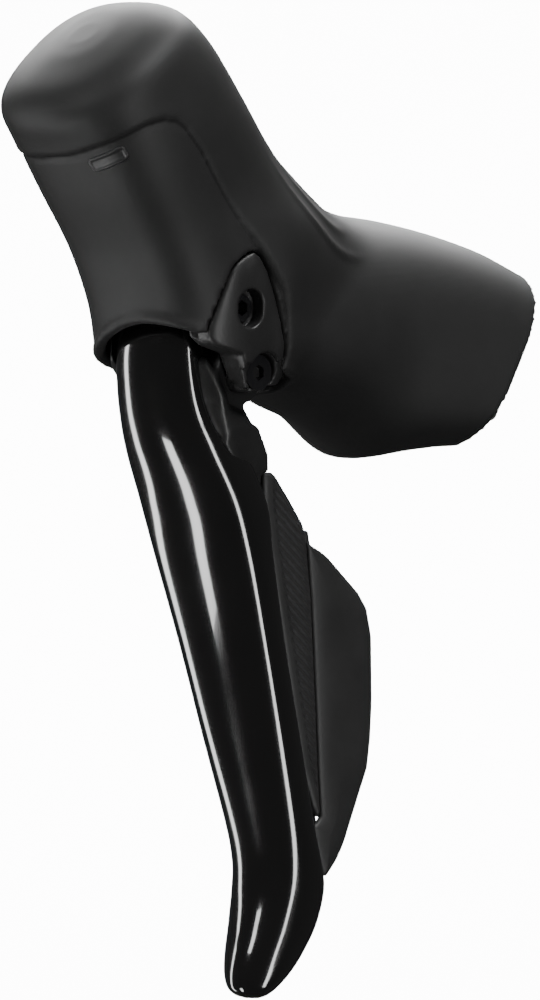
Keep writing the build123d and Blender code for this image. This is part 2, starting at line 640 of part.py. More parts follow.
# ---------------------------------------------------------------- switches
BASE_OUTLINE = (
    (-60.6, -18.0), (-52.0, -18.0), (-47.4, -30.0), (-46.0, -40.0), (-44.2, -62.0), (-43.9, -81.6),
    (-51.2, -81.6), (-54.6, -62.0), (-58.4, -36.0), (-60.6, -27.0),
)
BASE_TOP, BASE_BOTTOM = 6.2, 8.6      # depth of the base's two faces
BASE_SCREWS = ((-59.0, -21.2), (-57.2, -24.9))
BASE_LUGS = ((0.0, 3.0), (30.0, 33.0), (HINGE_LENGTH - 3.0, HINGE_LENGTH))
FRONT_KNUCKLES = ((3.2, 8.0), (HINGE_LENGTH - 8.0, HINGE_LENGTH - 3.2))
REAR_KNUCKLES = ((8.3, 14.0), (HINGE_LENGTH - 14.0, HINGE_LENGTH - 8.3))
FRONT_TACT = (18.5, 1.6)              # where each paddle meets its switch: along the hinge, and beside it
REAR_TACT = (25.5, 3.2)
FRONT_OUTLINE = (
    (-55.4, -16.9), (-53.3, -16.9), (-52.4, -17.6), (-49.2, -22.1), (-46.4, -26.4), (-45.8, -28.2),
    (-45.7, -29.6), (-45.4, -40.0), (-45.8, -58.0), (-46.2, -70.0), (-46.3, -78.6), (-46.9, -79.4),
    (-48.0, -77.6), (-50.2, -70.0), (-51.6, -59.0), (-53.9, -40.0), (-55.1, -30.0), (-55.7, -23.0),
)
REAR_OUTLINE = (
    (-45.2, -29.8), (-40.2, -34.4), (-33.9, -40.4), (-32.2, -43.0), (-31.5, -47.8), (-32.3, -59.2),
    (-33.3, -66.0), (-34.5, -71.0), (-38.6, -78.6), (-43.2, -87.2), (-44.4, -89.0), (-45.6, -90.2),
    (-46.3, -89.4), (-47.9, -83.2), (-47.9, -81.0), (-46.7, -80.2), (-45.9, -79.4), (-45.8, -70.0),
    (-45.4, -58.0), (-45.0, -40.0),
)
RIB_FIELD = (
    (-51.6, -24.0), (-46.8, -28.5), (-46.2, -40.0), (-46.6, -58.0), (-46.9, -74.0), (-48.4, -70.0),
    (-49.6, -59.0), (-51.6, -40.0),
)


def hinge_web(span, near, far, low, high):
    """A flat web along the hinge pin, between two offsets to its side and two depths."""
    corners = []
    for along, offset in ((span[0], near), (span[1], near), (span[1], far), (span[0], far)):
        local = SWITCH_PLANE.to_local_coords(hinge_point(along))
        corners.append(SWITCH_PLANE.from_local_coords((local.X + offset, local.Y, -high)))
    face = make_face(Polyline(*corners, close=True))
    return extrude(face, amount=high - low, dir=SWITCH_PLANE.z_dir)


def hinge_peg(along, offset, top, foot, radius):
    """A round peg square to the switches' plane, beside the hinge."""
    local = SWITCH_PLANE.to_local_coords(hinge_point(along))
    ends = [SWITCH_PLANE.from_local_coords((local.X + offset, local.Y, -depth)) for depth in (foot, top)]
    return rod(*ends, radius)


def switch_base():
    """The frame that holds the pin, the board and the springs behind the blade."""
    base = switch_plate(BASE_OUTLINE, BASE_TOP, BASE_BOTTOM - BASE_TOP)
    for span in BASE_LUGS:
        base += hinge_web(span, -1.5, 1.5, HINGE_DEPTH, BASE_TOP + 0.4)
        base += rod(hinge_point(span[0]), hinge_point(span[1]), KNUCKLE_R)
    base -= rod(hinge_point(-1), hinge_point(HINGE_LENGTH + 1), HINGE_R)
    for y, z in BASE_SCREWS:
        base -= rod(switch_point(y, z, 5), switch_point(y, z, 13), 1.3)
    return base


def switch_pin():
    """The pin that both paddles turn on."""
    return rod(hinge_point(0), hinge_point(HINGE_LENGTH), HINGE_R)


def base_screws():
    """The two screws that hold the switch base to the arm."""
    return [
        socket_screw(switch_point(y, z, BASE_TOP), switch_point(y, z, BASE_TOP + 5.5), 0.95, 1.9, 1.3, 1.5)
        for y, z in BASE_SCREWS
    ]


def front_paddle():
    """The ribbed paddle just behind the blade."""
    paddle = switch_plate(FRONT_OUTLINE, 0, PADDLE_WALL)
    for span in FRONT_KNUCKLES:
        paddle += rod(hinge_point(span[0]), hinge_point(span[1]), HINGE_DEPTH - PADDLE_WALL + 0.1)
    for z in range(-27, -80, -3):
        groove = switch_plate(((-52, z + 2), (-44, z - 7), (-44, z - 7.6), (-52, z + 1.4)), 0, 0.3)
        paddle -= groove & switch_plate(RIB_FIELD, 0, 1)
    paddle += hinge_peg(*FRONT_TACT, PADDLE_WALL - 0.1, 4.0, 0.7)
    return paddle - rod(hinge_point(-1), hinge_point(HINGE_LENGTH + 1), HINGE_R + RUN_CLEARANCE)


def rear_paddle():
    """The smooth fin behind the ribbed paddle, on arms that pass under it."""
    paddle = switch_plate(REAR_OUTLINE, 0.2, PADDLE_WALL)
    for span in REAR_KNUCKLES:
        paddle += rod(hinge_point(span[0]), hinge_point(span[1]), KNUCKLE_R)
        paddle += hinge_web(span, 0.0, 9.0, 2.7, 3.9)
        paddle += hinge_web(span, 7.5, 9.0, 1.0, 3.9)
    finger = (REAR_TACT[0] - 1.5, REAR_TACT[0] + 1.5)
    paddle += hinge_web(finger, REAR_TACT[1] - 1.0, 9.0, 2.6, 3.85) + hinge_web(finger, 7.5, 9.0, 1.0, 3.85)
    for start, end in FRONT_KNUCKLES:
        paddle -= rod(hinge_point(start - 0.4), hinge_point(end + 0.4), 2.3)
    return paddle - rod(hinge_point(-1), hinge_point(HINGE_LENGTH + 1), HINGE_R + RUN_CLEARANCE)


def switch_board():
    """The small circuit board under the paddles."""
    return hinge_web((16.0, 29.0), -2.5, 4.8, 5.4, BASE_TOP)


def tact_switches():
    """Two push switches on the board, one for each paddle."""
    switches = []
    for along, offset in (FRONT_TACT, REAR_TACT):
        body = hinge_web((along - 1.4, along + 1.4), offset - 1.4, offset + 1.4, 4.6, 5.4)
        switches.append(body + hinge_peg(along, offset, 4.2, 4.7, 0.8))
    return switches


def switch_spring(along, reach, top):
    """A light spring that pushes one paddle outward."""
    local = SWITCH_PLANE.to_local_coords(hinge_point(along))
    foot = SWITCH_PLANE.from_local_coords((local.X + reach, local.Y, -BASE_TOP))
    return coil(foot, SWITCH_PLANE.z_dir, 1.1, 0.2, 3, BASE_TOP - top - 0.05)


# ---------------------------------------------------------------- electronics in the grip
def coin_cells():
    """Two coin cells, one on the other."""
    cells = []
    for outer in (-5.6 - COIN_THICK, -5.8 - 2 * COIN_THICK):
        cell = x_rod(COIN_Y, COIN_Z, outer, outer + COIN_THICK, COIN_R)
        cells.append(chamfer(cell.edges().filter_by(GeomType.CIRCLE), 0.3))
    return cells


def battery_holder():
    """The cup that lines the battery's pocket."""
    cup = x_rod(COIN_Y, COIN_Z, -12.0, -5.05, COIN_R + 0.6) - x_rod(COIN_Y, COIN_Z, -13, -5.45, COIN_R + 0.1)
    cup -= slab(-13, -5.6, COIN_Y - 2, COIN_Y + 2, COIN_Z + 6, COIN_Z + 12)
    return cup & form(RUBBER_WALL + COVER_GAP)


def battery_contact():
    """The spring contact at the bottom of the cup."""
    return x_rod(COIN_Y, COIN_Z, -5.57, -5.46, 5.0) - x_rod(COIN_Y, COIN_Z, -6, -5, 2.5)


def battery_cover():
    """The cover over the cells, flush with the bracket's side."""
    disc = x_rod(COIN_Y, COIN_Z, -16, -12.55, COIN_R + 0.6) & form(RUBBER_WALL + COVER_GAP)
    slot = slab(-16, -13.4, COIN_Y - 4.0, COIN_Y + 4.0, COIN_Z - 0.8, COIN_Z + 0.8)
    return max((disc - slot).solids(), key=lambda s: s.volume)


def cover_gasket():
    """The seal under the battery cover."""
    ring = x_rod(COIN_Y, COIN_Z, -12.53, -12.03, COIN_R + 0.6) - x_rod(COIN_Y, COIN_Z, -13, -12, COIN_R + 0.05)
    return ring & form(RUBBER_WALL + COVER_GAP)


def circuit_board():
    """The board with its radio and its connector."""
    board = slab(-4.3, 3.5, -50.2, -31.0, 16.9, 17.9)
    chips = ((-3.0, 1.6, -47.5, -43.0, 1.0), (-2.2, 2.2, -40.0, -36.0, 0.8), (-2.6, 0.6, -35.0, -32.6, 1.3))
    for x0, x1, y0, y1, height in chips:
        board += slab(x0, x1, y0, y1, 17.9, 17.9 + height)
    return board


# ---------------------------------------------------------------- all nodes
save("bracket_body", bracket_body())
save("grip_cover", grip_cover())
save("clamp_band", clamp_band())
save("clamp_nut", band_block(1))
save("band_anchor", band_block(-1))
save("clamp_bolt", clamp_bolt())
save("hose_bolt", hose_bolt())
save("hose_olive", hose_olive())
save("reservoir_diaphragm", reservoir_diaphragm())
save("reservoir_lid", reservoir_lid())
save("lid_screws", *lid_screws())
save("bleed_screw", bleed_screw())
save("bleed_oring", bleed_oring())
save("master_piston", master_piston())
save("primary_cup", piston_seal(28.1, 30.1))
save("secondary_seal", piston_seal(16.6, 18.4))
save("push_rod", push_rod())
save("piston_circlip", piston_circlip())
save("piston_spring", piston_spring())
save("lever_axle", lever_axle())
save("axle_clip", axle_clip())
save("pivot_bushes", *pivot_bushes())
save("return_spring", return_spring())
save("roller_pin", roller_pin())
save("push_roller", push_roller())
save("reach_screw", reach_screw())
save("lever_blade", lever_blade())
save("blade_screws", *blade_screws())
save("lever_arm", lever_arm())
save("switch_base", switch_base())
save("switch_pin", switch_pin())
save("base_screws", *base_screws())
save("front_paddle", front_paddle())
save("rear_paddle", rear_paddle())
save("switch_board", switch_board())
save("tact_switches", *tact_switches())
save("front_spring", switch_spring(36.0, 2.2, PADDLE_WALL + 0.1))
save("rear_spring", switch_spring(45.4, 4.6, 4.0))
save("coin_cells", *coin_cells())
save("battery_holder", battery_holder())
save("battery_contact", battery_contact())
save("battery_cover", battery_cover())
save("cover_gasket", cover_gasket())
save("circuit_board", circuit_board())
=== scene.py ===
"""The looks of a left-hand brake and shift lever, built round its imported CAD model.

Row frame: +Z up, -Y forward, +X outboard, origin at the centre of the handlebar clamp.
The shape tables are in millimetres, and every mesh is made in metres.
"""

import json
import math

import bpy
import numpy as np
import openvdb as vdb
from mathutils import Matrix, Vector


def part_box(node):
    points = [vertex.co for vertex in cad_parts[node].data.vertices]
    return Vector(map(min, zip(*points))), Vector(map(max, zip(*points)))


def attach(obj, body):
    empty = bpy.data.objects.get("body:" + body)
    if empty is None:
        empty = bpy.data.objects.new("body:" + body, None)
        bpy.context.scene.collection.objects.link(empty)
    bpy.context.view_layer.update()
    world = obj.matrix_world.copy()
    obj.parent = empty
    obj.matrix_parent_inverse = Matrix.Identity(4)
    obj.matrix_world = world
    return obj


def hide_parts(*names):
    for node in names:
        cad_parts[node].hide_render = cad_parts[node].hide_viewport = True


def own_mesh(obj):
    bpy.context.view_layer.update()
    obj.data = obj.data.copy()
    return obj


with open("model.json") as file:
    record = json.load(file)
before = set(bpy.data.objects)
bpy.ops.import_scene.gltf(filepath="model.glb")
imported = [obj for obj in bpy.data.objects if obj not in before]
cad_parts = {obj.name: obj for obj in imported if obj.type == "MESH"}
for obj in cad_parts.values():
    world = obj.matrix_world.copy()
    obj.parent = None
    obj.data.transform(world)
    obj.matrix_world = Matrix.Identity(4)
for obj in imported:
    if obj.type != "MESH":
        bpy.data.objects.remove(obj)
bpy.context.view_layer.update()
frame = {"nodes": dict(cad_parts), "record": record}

MM = 0.001

# ---------------------------------------------------------------- shape of the hood, in millimetres
# Grip: centre y, centre z, lean of the spine in degrees, half width, above, below, squareness
GRIP_ROWS = (
    (-0.9, 0.5, 30, 21.5, 20.5, 18.3, 3.0),
    (-9.0, 4.0, 27, 20.0, 20.7, 22.2, 2.65),
    (-22.0, 8.2, 12, 17.9, 19.5, 24.2, 2.2),
    (-32.0, 9.6, 9, 17.2, 19.3, 19.4, 2.1),
    (-40.0, 10.2, 8, 16.7, 18.9, 16.9, 2.15),
    (-47.0, 10.0, 7, 16.3, 18.4, 13.3, 2.3),
    (-56.0, 10.0, 5, 16.2, 17.4, 12.0, 2.4),
)
# Horn: centre x, y, z, lean of the spine in degrees, half width, behind, in front, squareness
HORN_ROWS = (
    (0.4, -61.0, -2.0, 86, 14.8, 10.5, 16.2, 2.6),
    (0.0, -60.0, 8.0, 77, 17.0, 15.4, 19.8, 2.8),
    (-0.3, -62.5, 20.0, 64, 17.7, 19.3, 19.6, 2.8),
    (-0.6, -69.0, 32.0, 55, 17.7, 19.3, 18.3, 2.8),
    (-0.9, -77.0, 44.0, 52, 18.3, 18.8, 18.0, 2.7),
    (-1.5, -82.0, 52.0, 52, 18.4, 17.9, 17.8, 2.6),
    (-1.8, -85.4, 57.4, 52, 17.4, 15.7, 17.9, 2.5),
    (-1.6, -87.5, 60.0, 52, 13.3, 12.3, 14.3, 2.4),
    (-1.2, -88.6, 61.5, 52, 7.2, 8.0, 7.2, 2.2),
    (-1.1, -88.9, 62.0, 52, 3.0, 3.3, 2.6, 2.0),
)
RUBBER_WALL = 2.2
BAR_R = 12.5                # hole for the handlebar in the cover
SADDLE_BLEND = 20.0         # how widely the horn flows into the grip

# Places worked out from the CAD parts
axle_low, axle_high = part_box("lever_axle")
PIVOT = (axle_low + axle_high) / 2 / MM
reach_low, reach_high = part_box("reach_screw")
REACH = (reach_low + reach_high) / 2 / MM


# ---------------------------------------------------------------- fields: signed distances on a grid
def smooth_min(a, b, width):
    """The union of two fields, with a fillet."""
    h = np.clip(0.5 + 0.5 * (b - a) / width, 0, 1)
    return b + (a - b) * h - width * h * (1 - h)


def smooth_max(a, b, width):
    """The intersection of two fields, with a rounded edge."""
    return -smooth_min(-a, -b, width)


def smooth_step(value, low, high):
    """0 below low, 1 above high, and a soft rise between."""
    t = np.clip((value - low) / (high - low), 0, 1)
    return t * t * (3 - 2 * t)


class Grid:
    """A box of sample points, in millimetres."""

    def __init__(self, low, high, step):
        self.low, self.step = np.array(low, float), step
        counts = np.ceil((np.array(high, float) - self.low) / step).astype(int) + 1
        axes = [self.low[i] + step * np.arange(counts[i]) for i in range(3)]
        spread = np.meshgrid(*axes, indexing="ij", sparse=True)
        self.x, self.y, self.z = (a.astype(np.float32) for a in spread)
        self.shape = tuple(counts)

    def solid(self, rings):
        """The field of a closed loft, given as rings of points."""
        count, around = rings.shape[:2]
        points = np.concatenate([rings.reshape(-1, 3), rings[0].mean(0)[None], rings[-1].mean(0)[None]])
        points = ((points - self.low) / self.step).astype(np.float32)
        quads, triangles = [], []
        for i in range(count - 1):
            for j in range(around):
                k = (j + 1) % around
                quads.append((i * around + j, i * around + k, (i + 1) * around + k, (i + 1) * around + j))
        for j in range(around):
            k = (j + 1) % around
            last = (count - 1) * around
            triangles.append((k, j, count * around))
            triangles.append((last + j, last + k, count * around + 1))
        band = 24.0 / self.step
        made = vdb.FloatGrid.createLevelSetFromPolygons(
            points, triangles=np.array(triangles, np.uint32), quads=np.array(quads, np.uint32),
            exBandWidth=band, inBandWidth=band)
        field = np.zeros(self.shape, np.float32)
        made.copyToArray(field, ijk=(0, 0, 0))
        return field * self.step

    def mesh(self, name, field):
        """A mesh object of where the field is below zero, in metres."""
        made = vdb.FloatGrid(4.0)
        made.copyFromArray(np.array(np.broadcast_to(field, self.shape), np.float32, order="C"))
        points, quads = made.convertToQuads(0.0)
        points = (points * self.step + self.low) * MM
        return mesh_object(name, points, quads)


def mesh_object(name, points, faces):
    """A mesh object from points and faces."""
    mesh = bpy.data.meshes.new(name)
    mesh.from_pydata([tuple(p) for p in points], [], [tuple(f) for f in faces])
    mesh.validate()
    mesh.shade_smooth()
    piece = bpy.data.objects.new(name, mesh)
    bpy.context.scene.collection.objects.link(piece)
    return piece


def smooth_rows(rows, per_span):
    """More rows on a smooth curve through the given ones."""
    rows = np.array(rows, float)
    padded = np.concatenate([2 * rows[:1] - rows[1:2], rows, 2 * rows[-1:] - rows[-2:-1]])
    out = []
    for i in range(1, len(padded) - 2):
        p0, p1, p2, p3 = padded[i - 1:i + 3]
        for t in np.arange(per_span) / per_span:
            out.append(0.5 * (2 * p1 + (p2 - p0) * t + (2 * p0 - 5 * p1 + 4 * p2 - p3) * t * t
                              + (3 * p1 - p0 - 3 * p2 + p3) * t ** 3))
    out.append(rows[-1])
    return np.array(out)


def form_rings(rows, around=96):
    """Rounded sections square to a leaning spine: x, y, z, lean, half width, behind, in front, squareness."""
    turn = np.linspace(0, 2 * math.pi, around, endpoint=False)
    rings = []
    for x, y, z, lean, wide, above, below, square in rows:
        tilt = math.radians(lean)
        c, s = np.cos(turn), np.sin(turn)
        across = np.sign(c) * np.abs(c) ** (2 / square) * wide
        up = np.sign(s) * np.abs(s) ** (2 / square) * np.where(s > 0, above, below)
        rings.append(np.stack([x + across, y + up * math.sin(tilt), z + up * math.cos(tilt)], 1))
    return np.array(rings)


def polygon_field(a, b, points):
    """Signed distance to a closed outline in the plane of two coordinates, negative inside."""
    a, b = np.broadcast_arrays(a, b)
    nearest = np.full(a.shape, 1e9, np.float32)
    inside = np.zeros(a.shape, bool)
    for (a0, b0), (a1, b1) in zip(points, points[1:] + points[:1]):
        da, db = a1 - a0, b1 - b0
        t = np.clip(((a - a0) * da + (b - b0) * db) / (da * da + db * db), 0, 1)
        nearest = np.minimum(nearest, np.hypot(a - a0 - t * da, b - b0 - t * db))
        if db:
            inside ^= ((b0 > b) != (b1 > b)) & (a < da * (b - b0) / db + a0)
    return np.where(inside, -nearest, nearest)


# ---------------------------------------------------------------- hood
hood_grid = Grid((-24, -110, -19), (24, 13, 74), 0.6)


def hood_form(grid):
    """The hood's outer form: the grip and the horn, with a wide fillet between them."""
    grip_rows = smooth_rows([(0.0, *row) for row in GRIP_ROWS], 8)
    horn_rows = smooth_rows(HORN_ROWS, 8)
    blend = 4 + (SADDLE_BLEND - 4) * smooth_step(grid.z, 8, 30)
    return smooth_min(grid.solid(form_rings(grip_rows)), grid.solid(form_rings(horn_rows)), blend)


form = hood_form(hood_grid)

# Outlines seen from the side, as (y, z)
FRONT_PANEL = [
    (-112, 38.7), (-96.2, 38.9), (-94.7, 41), (-91.5, 42.8), (-88.5, 44.3), (-85.5, 45), (-82.9, 44.7),
    (-80.9, 43.4), (-77.1, 39.3), (-73.7, 34.6), (-70, 29.7), (-65.6, 24), (-64, 22.2), (-61, 18),
    (-58.1, 13.7), (-56.6, 9.3), (-55.6, 4.6), (-55.6, 1.5), (-57.4, -2.6), (-57.4, -40), (-112, -40)]
PANEL_TILT = 0.12           # the panel's top edge rises outboard
MOUTH = [(-112, 10.8), (-76, 10.8), (-68, 10.3), (-60, 6.5), (-50.5, 1.3), (-50.5, -40), (-112, -40)]
MOUTH_ARCH = 0.023          # how strongly the front lip arches
MOUTH_TOP_X = 5.2           # where it is highest
CHEEK = [
    (-64.6, 23.6), (-66.5, 22.7), (-68.2, 21.5), (-69.3, 20.2), (-70.2, 18.4), (-71.6, 14.9), (-73.3, 9.9),
    (-73.3, -12), (-56, -12), (-57.6, -2.5), (-57.0, -0.9), (-56.0, 1.0), (-55.7, 3.1), (-56.0, 6.2),
    (-57.2, 10.7), (-58.9, 15.1), (-61.1, 19.8), (-63.0, 22.6)]
CHEEK_FOOT = [
    (-100, 10.8), (-77, 10.6), (-71.5, 6.6), (-66.5, 5), (-62.5, -3.6), (-58, -5.6), (-52.5, -6.5),
    (-50.5, -30), (-100, -30)]
PANEL_STEP = 0.35           # how far the front panel lies below the rest of the cover
FOLD_R = 0.9                # the rolled edge round the cover's openings
CHEEK_DROP = 0.12           # how far the bare cheek lies below the cover
HOSE_AXIS = np.array((-0.1783, 0.8521, -0.492))
HOSE_HOLE_R = 4.6


def bar_distance(grid, lean=math.radians(30)):
    """Distance from the handlebar's axis."""
    across = grid.y * math.cos(lean) - grid.z * math.sin(lean)
    return np.hypot(grid.x, across)


def wave_height(x, y, z):
    """Three low ridges moulded round the waist of the cover, on both sides."""
    along = (y + 46) * 0.52 + (z - 22) * 0.86
    out = np.zeros(np.broadcast(x, y, z).shape, np.float32)
    for k, (centre, reach) in enumerate(((3.0, 10.0), (6.6, 8.0), (10.2, 6.0))):
        bend = centre + 0.035 * (y + 44) ** 2 * (1 if k else 0.8)
        line = np.exp(-((along - bend) / 0.8) ** 2)
        fade = np.exp(-((y + 46) / reach) ** 4) * smooth_step(np.abs(x), 3, 9)
        out += line * fade
    return out


def hose_hole(grid):
    """The hole through the cover for the hose, from the hose bolt backwards."""
    port_low, port_high = (np.array(p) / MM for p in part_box("hose_bolt"))
    port = (port_low + port_high) / 2
    offset = [grid.x - port[0], grid.y - port[1], grid.z - port[2]]
    along = sum(o * a for o, a in zip(offset, HOSE_AXIS))
    radial = np.sqrt(np.maximum(sum(o * o for o in offset) - along ** 2, 0))
    return np.maximum(radial - HOSE_HOLE_R, -along)


def hood_field(grid, outer):
    """The rubber skin: hollow, and open at its mouth, its cheek, the bar and the hose port."""
    panel = polygon_field(grid.y, grid.z - PANEL_TILT * grid.x, FRONT_PANEL)
    mouth = polygon_field(grid.y, grid.z + MOUTH_ARCH * (grid.x - MOUTH_TOP_X) ** 2, MOUTH)
    window = smooth_max(polygon_field(grid.y, grid.z, CHEEK), 6 - grid.x, 1.0)
    skin = outer + PANEL_STEP * smooth_step(-panel, -0.35, 0.35) + 0.45 * np.exp(-(panel / 0.55) ** 2)
    skin = skin - 0.22 * wave_height(grid.x, grid.y, grid.z)
    shell = smooth_max(skin, -(outer + RUBBER_WALL), 0.6)
    opening = np.minimum(mouth, window)
    shell = smooth_max(shell, -opening, 0.35)
    away = np.maximum(0, 1.5 - window)
    fold = np.hypot(np.maximum(np.abs(outer + FOLD_R + 0.1) - 0.25, 0), mouth - FOLD_R * 0.8) - FOLD_R + away
    shell = smooth_min(shell, fold, 0.8)
    shell = smooth_max(shell, BAR_R - bar_distance(grid), 1.0)
    return smooth_max(shell, -hose_hole(grid), 0.6)


def store(piece, name, values):
    """Keep one number for each of the piece's points, for its material."""
    layer = piece.data.attributes.new(name, "FLOAT", "POINT")
    layer.data.foreach_set("value", np.ascontiguousarray(values, np.float32))


def points_of(piece):
    """The piece's points, in millimetres."""
    points = np.zeros(len(piece.data.vertices) * 3, np.float32)
    piece.data.vertices.foreach_get("co", points)
    return points.reshape(-1, 3) / MM


hood = hood_grid.mesh("hood", hood_field(hood_grid, form))
x, y, z = points_of(hood).T
store(hood, "panel_edge_distance", polygon_field(y, z - PANEL_TILT * x, FRONT_PANEL))
store(hood, "wave", wave_height(x, y, z))
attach(hood, "bracket")
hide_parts("grip_cover")


# ---------------------------------------------------------------- cheek and badge, on finer grids
def sample(values, source, grid):
    """A field of one grid read at another grid's points."""
    axes = []
    for i, axis in enumerate((grid.x, grid.y, grid.z)):
        place = np.clip((axis.ravel() - source.low[i]) / source.step, 0, source.shape[i] - 1.001)
        axes.append((place.astype(int), place - place.astype(int)))
    out = values
    for i, (whole, part) in enumerate(axes):
        shape = [1, 1, 1]
        shape[i] = len(whole)
        part = part.reshape(shape)
        out = np.take(out, whole, i) * (1 - part) + np.take(out, whole + 1, i) * part
    return out.astype(np.float32)


def make_cheek():
    """The bare plastic cheek beside the lever, with the reach screw's recess and the axle's notch."""
    grid = Grid((7, -78, -10), (20.5, -50, 27), 0.27)
    outer = sample(form, hood_grid, grid)
    edge = polygon_field(grid.y, grid.z, CHEEK) + 0.3
    bevel = 0.35 * np.exp(-np.maximum(-edge - 0.2, 0) / 1.0)
    plate = smooth_max(outer + CHEEK_DROP + bevel, edge, 0.5)
    plate = smooth_max(plate, -(outer + 3.4), 0.4)
    plate = smooth_max(plate, -polygon_field(grid.y, grid.z, CHEEK_FOOT), 0.7)
    recess = np.hypot(grid.y - REACH[1], np.maximum(np.abs(grid.z - REACH[2]) - 0.6, 0)) - 2.8
    plate = smooth_max(plate, -np.maximum(recess, 14.0 - grid.x), 0.5)
    notch = np.hypot(grid.y - PIVOT[1], grid.z - PIVOT[2]) - 3.7
    slot_side = np.maximum(np.abs(grid.z - PIVOT[2] + 0.4) - 2.2, np.abs(grid.y - PIVOT[1] - 2) - 6.4)
    plate = smooth_max(plate, -smooth_max(np.minimum(notch, slot_side), 13.0 - grid.x, 0.4), 0.5)
    piece = grid.mesh("cheek", plate)
    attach(piece, "bracket")
    return piece


BADGE_CENTRE = np.array((10.3, -94.0, 39.3))
BADGE_NORMAL = np.array((0.49, -0.77, -0.41))


def make_badge():
    """The small blank plate on the front of the horn."""
    centre = BADGE_CENTRE
    grid = Grid(centre - 7, centre + 7, 0.15)
    outer = sample(form, hood_grid, grid)
    normal = BADGE_NORMAL
    across = np.array((7.2, 2.9, 3.1))
    across -= normal * (across @ normal) / (normal @ normal)
    across /= np.linalg.norm(across)
    up = np.cross(normal / np.linalg.norm(normal), across)
    u = (grid.x - centre[0]) * across[0] + (grid.y - centre[1]) * across[1] + (grid.z - centre[2]) * across[2]
    v = (grid.x - centre[0]) * up[0] + (grid.y - centre[1]) * up[1] + (grid.z - centre[2]) * up[2]
    pill = np.hypot(np.maximum(np.abs(u) - 2.9, 0), np.maximum(np.abs(v) - 0.45, 0)) - 1.0
    rim = np.exp(-((pill + 0.35) / 0.28) ** 2)
    plate = smooth_max(outer + PANEL_STEP - 0.10 - 0.18 * rim, -(outer + 1.4), 0.1)
    piece = grid.mesh("badge", smooth_max(plate, pill, 0.15))
    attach(piece, "bracket")
    return piece


cheek = make_cheek()
badge = make_badge()

# ---------------------------------------------------------------- blade
# z, ridge x, ridge y, width, yaw of the front face in degrees, depth, crown
BLADE_ROWS = (
    (15.5, 5.6, -68.6, 12.0, 9, 4.0, 0.9),
    (11.5, 6.4, -71.2, 14.2, 10, 4.8, 1.4),
    (5, 7.0, -72.1, 15.4, 12, 4.8, 2.0),
    (-4, 8.0, -71.2, 16.6, 13, 5.6, 2.2),
    (-12, 10.6, -69.0, 19.1, 14, 8.4, 2.4),
    (-22, 13.0, -65.4, 20.8, 15, 8.5, 2.4),
    (-32, 13.6, -62.8, 20.2, 16, 7.0, 2.2),
    (-48, 14.8, -60.2, 18.2, 16, 6.2, 2.0),
    (-65, 16.5, -58.0, 16.4, 16, 6.2, 2.0),
    (-80, 18.1, -56.4, 14.6, 15, 6.4, 2.0),
    (-87, 18.7, -56.0, 14.1, 14, 7.3, 2.1),
    (-92, 19.1, -56.6, 14.0, 14, 8.2, 2.2),
    (-98, 19.4, -58.8, 13.3, 12, 8.2, 2.4),
    (-103, 19.2, -61.2, 12.0, 10, 7.4, 2.4),
    (-106.5, 18.7, -62.8, 10.4, 9, 6.2, 2.1),
    (-109, 17.8, -63.8, 8.0, 8, 4.8, 1.6),
    (-110.3, 16.8, -63.8, 5.4, 8, 3.3, 0.9),
    (-110.8, 15.8, -63.4, 2.6, 8, 1.8, 0.3),
)
BLADE_WALL = 2.0
RIDGE_R = 2.4


def corner(before, point, after, radius, steps):
    """Points round one corner of an outline."""
    to_before, to_after = before - point, after - point
    a = point + to_before * min(radius / (np.linalg.norm(to_before) + 1e-9), 0.45)
    b = point + to_after * min(radius / (np.linalg.norm(to_after) + 1e-9), 0.45)
    t = np.linspace(0, 1, steps)[:, None]
    return (1 - t) ** 2 * a + 2 * t * (1 - t) * point + t ** 2 * b


def stretch(points, counts):
    """The rounded corners of an outline, joined by evenly divided sides."""
    loop = []
    for i, part in enumerate(points):
        following = points[(i + 1) % len(points)]
        loop.extend(part)
        t = np.linspace(0, 1, counts[i] + 2)[1:-1, None]
        loop.extend(part[-1] * (1 - t) + following[0] * t)
    return np.array(loop)


def blade_ring(z, ridge_x, ridge_y, width, yaw, depth, crown):
    """One level of the blade: crowned front, sides, and the channel behind, which closes near the tip."""
    turn = math.radians(yaw)
    along = np.array((-math.cos(turn), -math.sin(turn)))
    outward = np.array((math.sin(turn), -math.cos(turn)))
    ridge = np.array((ridge_x, ridge_y))
    inner_end = ridge + along * width
    wall = min(BLADE_WALL, width * 0.3)
    closing = float(smooth_step(np.float64(-z), 84.0, 91.0))
    back, back_in = np.array((0, depth)), np.array((0, depth * 0.8))
    in_ridge = ridge + along * wall - outward * wall
    in_end = inner_end - along * wall - outward * wall
    in_ridge_back = ridge + back + along * wall
    in_end_back = inner_end + back_in - along * wall
    in_ridge = in_ridge * (1 - closing) + (in_ridge_back + np.array((0, -0.05))) * closing
    in_end = in_end * (1 - closing) + (in_end_back + np.array((0, -0.05))) * closing
    corners = (
        ridge, inner_end, inner_end + back_in, in_end_back, in_end, in_ridge, in_ridge_back, ridge + back)
    radii = (RIDGE_R, 2.4, 0.7, 0.7, 1.0, 1.0, 0.7, 0.9)
    steps = (11, 13, 5, 5, 6, 6, 5, 7)
    rounded = [
        corner(corners[i - 1], corners[i], corners[(i + 1) % 8], radii[i], steps[i]) for i in range(8)]
    loop = stretch(rounded, (24, 5, 1, 4, 12, 4, 1, 8))
    share = np.clip((loop - ridge) @ along / width, 0, 1)
    bulge = crown * 4 * share * (1 - share)
    from_front = np.clip(((loop - ridge) @ -outward) / depth, 0, 1)
    loop = loop + outward * (bulge * (1 - 0.85 * from_front))[:, None]
    side = np.clip(1 - share * 6, 0, 1) * 4 * from_front * (1 - from_front)
    loop[:, 0] += 0.45 * side
    return np.column_stack([loop, np.full(len(loop), z)])


